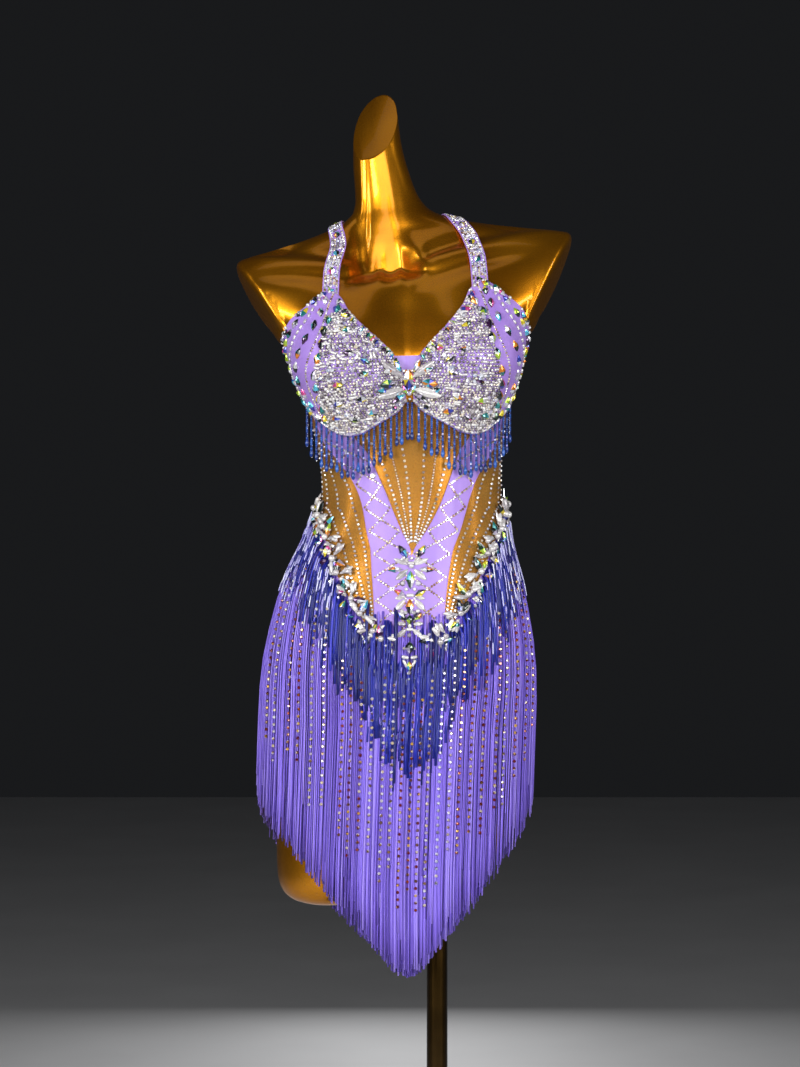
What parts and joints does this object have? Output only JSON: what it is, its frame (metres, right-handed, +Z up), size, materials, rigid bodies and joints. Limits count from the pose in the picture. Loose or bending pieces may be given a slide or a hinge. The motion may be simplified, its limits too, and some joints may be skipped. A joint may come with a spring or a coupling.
{
  "type": "latin dance dress on a dress form",
  "caption": "Latin dance dress with crystal cups, sheer cut-outs and a V of hip fringe, shown on a limbless gold dress form with a pole and round base.",
  "frame": {"origin": "on the floor, in the plane of the base plate's underside, under the dress's middle", "axes": "+Z up, -Y the dress's front, +X the wearer's left"},
  "size_m": [0.4081, 0.34, 1.5858],
  "materials": {
    "satin": "lavender stretch satin with a soft sheen",
    "sheer": "fine skin-tone stretch mesh, sheer over gold",
    "fringe": "lavender chainette, satin",
    "bead": "glossy blue cut beads",
    "crystal": "faceted stones with rainbow coating, and white pearls",
    "form": "dark gold metallic lacquer, glossy",
    "brass": "polished"
  },
  "bodies": {
    "root": {"form": "form", "pole": "brass", "pole_collar": "brass", "base_plate": "brass", "bodice_mesh_front": "sheer", "bodice_mesh_side_left": "sheer", "bodice_mesh_side_right": "sheer", "bodice_mesh_back": "sheer", "bodice_strip_left": "satin", "bodice_strip_right": "satin", "brief_front": "satin", "brief_back": "satin", "brief_gusset": "satin", "cup_left": "satin", "cup_right": "satin", "bra_bridge": "satin", "bra_band": "satin", "strap_left": "satin", "strap_right": "satin", "skirt_fringe_front": "fringe", "skirt_fringe_back": "fringe", "bust_fringe_left": "bead", "bust_fringe_right": "bead", "applique_bust": "crystal", "applique_front_star": "crystal", "applique_front_tail": "crystal", "applique_hip_left": "crystal", "applique_hip_right": "crystal"}
  },
  "joints": []
}
